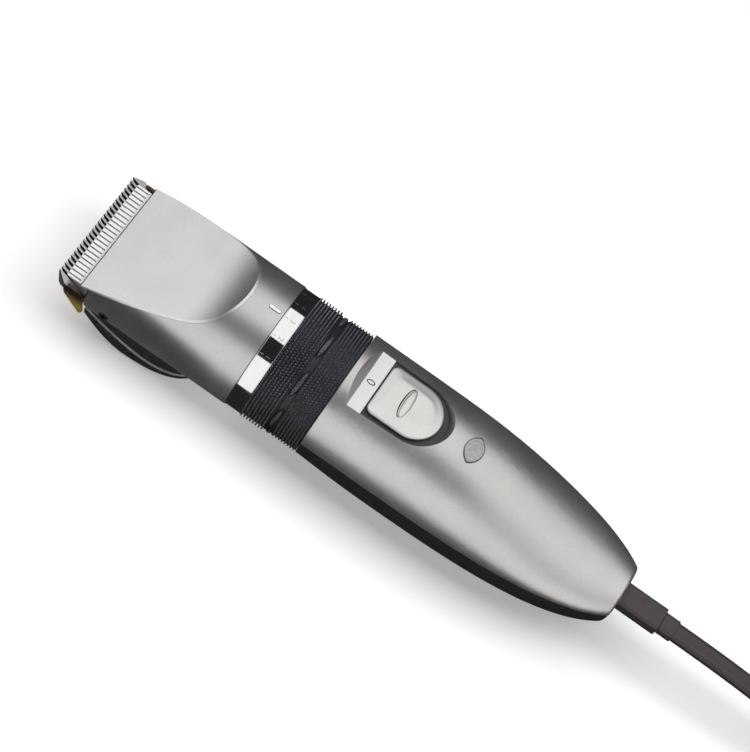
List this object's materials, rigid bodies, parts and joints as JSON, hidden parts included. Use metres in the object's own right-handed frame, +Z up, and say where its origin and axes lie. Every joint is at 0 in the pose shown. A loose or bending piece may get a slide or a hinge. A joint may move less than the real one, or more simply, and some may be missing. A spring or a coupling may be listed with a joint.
{
  "type": "electric pet clipper",
  "caption": "Cordless pet clipper with a ceramic moving blade, a ribbed adjusting ring, a slide switch and a flat charging lead with a wall adapter.",
  "frame": {"origin": "under the middle of the clipper without its lead, on the surface that it lies on", "axes": "+X along the handle towards the charging lead, +Z up through the switch, Y across"},
  "size_m": [0.5211, 0.042, 0.0429],
  "materials": {
    "silver_paint": "satin metallic silver",
    "face_silver": "smooth satin silver",
    "dark_gloss": "dark grey gloss",
    "lower_grey": "dark grey satin",
    "white_pip": "satin white",
    "blade_steel": "ground",
    "gold_coat": "gold titanium nitride coating",
    "ceramic": "sintered, matt",
    "black_plastic": "matt",
    "zinc_steel": "plated",
    "spring_steel": "bright",
    "chrome": "mirror",
    "grip_rubber": "ribbed, matt",
    "slider_silver": "pearl silver",
    "lens": "smoked translucent",
    "motor_steel": "zinc plated",
    "magnet": "ferrite",
    "brass": "turned",
    "copper_winding": "enamelled copper and iron",
    "board": "solder mask",
    "cell_wrap": "shrink wrap",
    "led_clear": "clear red",
    "wire_red": "insulated wire",
    "lead_boot": "satin",
    "cord": "satin PVC",
    "adapter_case": "fine texture",
    "pin_steel": "nickel plated"
  },
  "bodies": {
    "handle": {"head_shell": "silver_paint", "face_panel": "face_silver", "jaw_cover": "dark_gloss", "comb_catches": "dark_gloss", "index_pip": "white_pip", "fixed_blade": "blade_steel", "blade_holder": "gold_coat", "blade_bracket": "zinc_steel", "neck_chassis": "black_plastic", "click_spring": "spring_steel", "motor_mount": "black_plastic", "motor_screws": "zinc_steel", "motor_can": "motor_steel", "motor_bush": "brass", "motor_end_cap": "black_plastic", "motor_magnets": "magnet", "upper_shell": "silver_paint", "lower_shell": "lower_grey", "shell_screws": "zinc_steel", "led_lens": "lens", "switch_plate": "face_silver", "slide_track": "black_plastic", "slide_switch": "black_plastic", "circuit_board": "board", "indicator_led": "led_clear", "battery_cell": "cell_wrap", "battery_straps": "spring_steel", "battery_cradle": "black_plastic", "charge_socket": "black_plastic", "motor_wires": "wire_red"},
    "adjusting_ring": {"ring_core": "black_plastic", "scale_band": "chrome", "grip_sleeve": "grip_rubber"},
    "blade_feed": {"feed_yoke": "black_plastic", "pressure_springs": "spring_steel"},
    "moving_blade": {"ceramic_blade": "ceramic", "blade_carrier": "black_plastic", "blade_screws": "zinc_steel"},
    "motor_rotor": {"armature": "copper_winding", "commutator": "brass", "motor_shaft": "spring_steel", "eccentric_cam": "white_pip"},
    "switch": {"switch_slider": "slider_silver", "slider_stem": "black_plastic"},
    "charging_lead": {"plug_barrel": "pin_steel", "plug_boot": "lead_boot", "strain_relief": "lead_boot", "cord_run": "cord", "cord_hank": "cord", "hank_tie": "black_plastic", "cord_tail": "cord", "adapter_relief": "lead_boot", "adapter_base": "adapter_case", "adapter_cover": "adapter_case", "adapter_transformer": "copper_winding", "adapter_pins": "pin_steel"}
  },
  "joints": [
    {"name": "ring_turn", "type": "hinge", "parent": "handle", "child": "adjusting_ring", "pos_m": [0, 0, 0.0225], "axis": [1, 0, 0], "range_deg": [-45, 45]},
    {"name": "blade_feed_slide", "type": "slide", "parent": "handle", "child": "blade_feed", "axis": [-0.866, 0, 0.5], "range_m": [-0.0006, 0.0006]},
    {"name": "blade_stroke", "type": "slide", "parent": "blade_feed", "child": "moving_blade", "axis": [0, 1, 0], "range_m": [-0.0012, 0.0012]},
    {"name": "rotor_spin", "type": "hinge", "parent": "handle", "child": "motor_rotor", "pos_m": [0, 0, 0.0225], "axis": [1, 0, 0], "continuous": true},
    {"name": "switch_slide", "type": "slide", "parent": "handle", "child": "switch", "axis": [-1, 0, 0], "range_m": [0, 0.0045]},
    {"name": "plug_pull", "type": "slide", "parent": "handle", "child": "charging_lead", "axis": [1, 0, 0], "range_m": [0, 0.012]}
  ],
  "couplings": [
    {"joint": "ring_turn", "follows": "blade_feed_slide", "rad_per_m": 1309}
  ]
}
